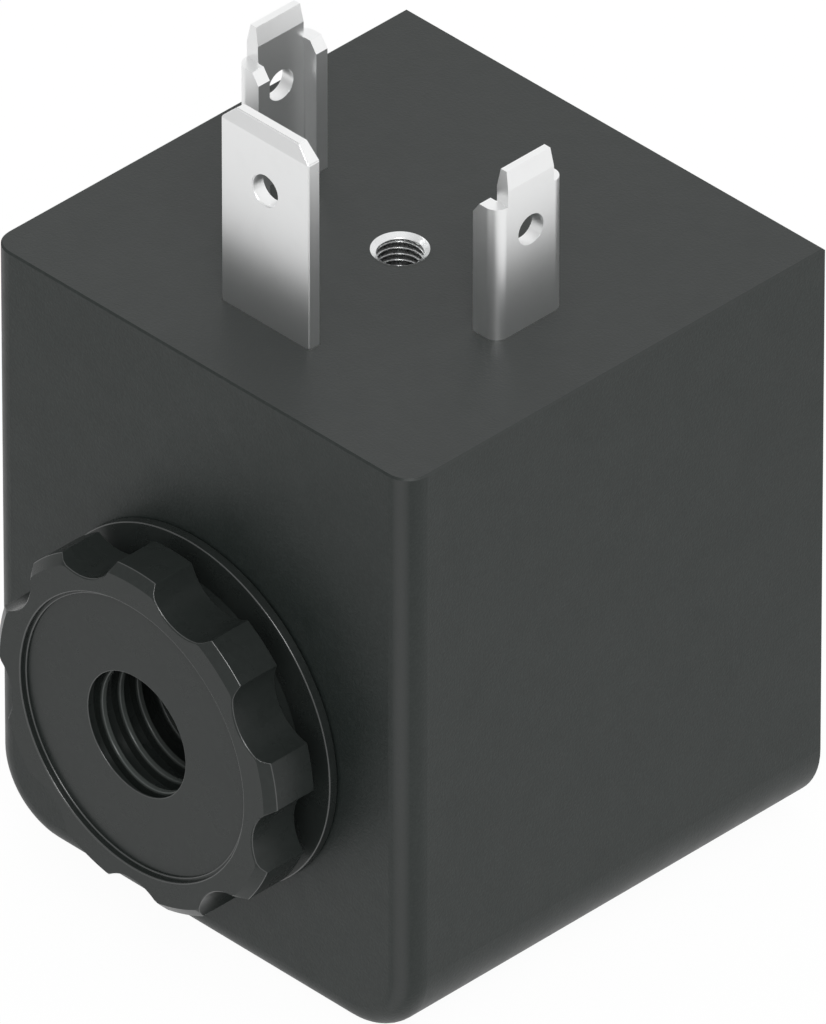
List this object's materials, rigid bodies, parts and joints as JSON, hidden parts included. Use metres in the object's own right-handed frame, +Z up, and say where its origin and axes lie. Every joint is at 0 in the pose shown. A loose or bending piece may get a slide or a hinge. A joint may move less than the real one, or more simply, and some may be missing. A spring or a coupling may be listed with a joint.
{
  "type": "solenoid valve coil",
  "caption": "Moulded solenoid coil with an armature bore, plug contacts on top, a screw insert between them and a scalloped nut that turns on the front.",
  "frame": {"origin": "on the axis of the armature bore, in the face that meets the valve", "axes": "+Y out of the valve face along the bore, +Z up along the plug contacts, +X to the right seen from the nut"},
  "size_m": [0.0302, 0.0345, 0.0477],
  "materials": {
    "moulding": "dark grey moulding, fine satin grain",
    "nut_plastic": "dark grey plastic, smooth satin",
    "contact_metal": "tinned, bright",
    "insert_metal": "nickel plated, bright",
    "spool_plastic": "natural glass-filled plastic",
    "copper_wire": "enamelled copper",
    "tape": "thin polyester tape",
    "sleeve": "soft sleeve",
    "yoke_steel": "zinc-plated mild steel",
    "rivet_metal": "plated",
    "seal_rubber": "black rubber",
    "spring_steel": "phosphated spring steel"
  },
  "bodies": {
    "coil": {"housing": "moulding", "yoke_bracket": "yoke_steel", "yoke_plate": "yoke_steel", "flux_bush_rear": "yoke_steel", "flux_bush_front": "yoke_steel", "bobbin": "spool_plastic", "winding": "copper_wire", "winding_tape": "tape", "terminal_carrier": "spool_plastic", "contact_left": "contact_metal", "contact_right": "contact_metal", "contact_earth": "contact_metal", "earth_rivet": "rivet_metal", "plug_screw_insert": "insert_metal", "lead_start": "copper_wire", "lead_finish": "copper_wire", "lead_sleeve_start": "sleeve", "lead_sleeve_finish": "sleeve", "rear_seal": "seal_rubber"},
    "nut": {"knurled_nut": "nut_plastic", "nut_retaining_ring": "spring_steel", "nut_seal": "seal_rubber"}
  },
  "joints": [
    {"name": "nut_turn", "type": "hinge", "parent": "coil", "child": "nut", "pos_m": [0, -0.0298, 0], "axis": [0, 1, 0], "continuous": true}
  ]
}
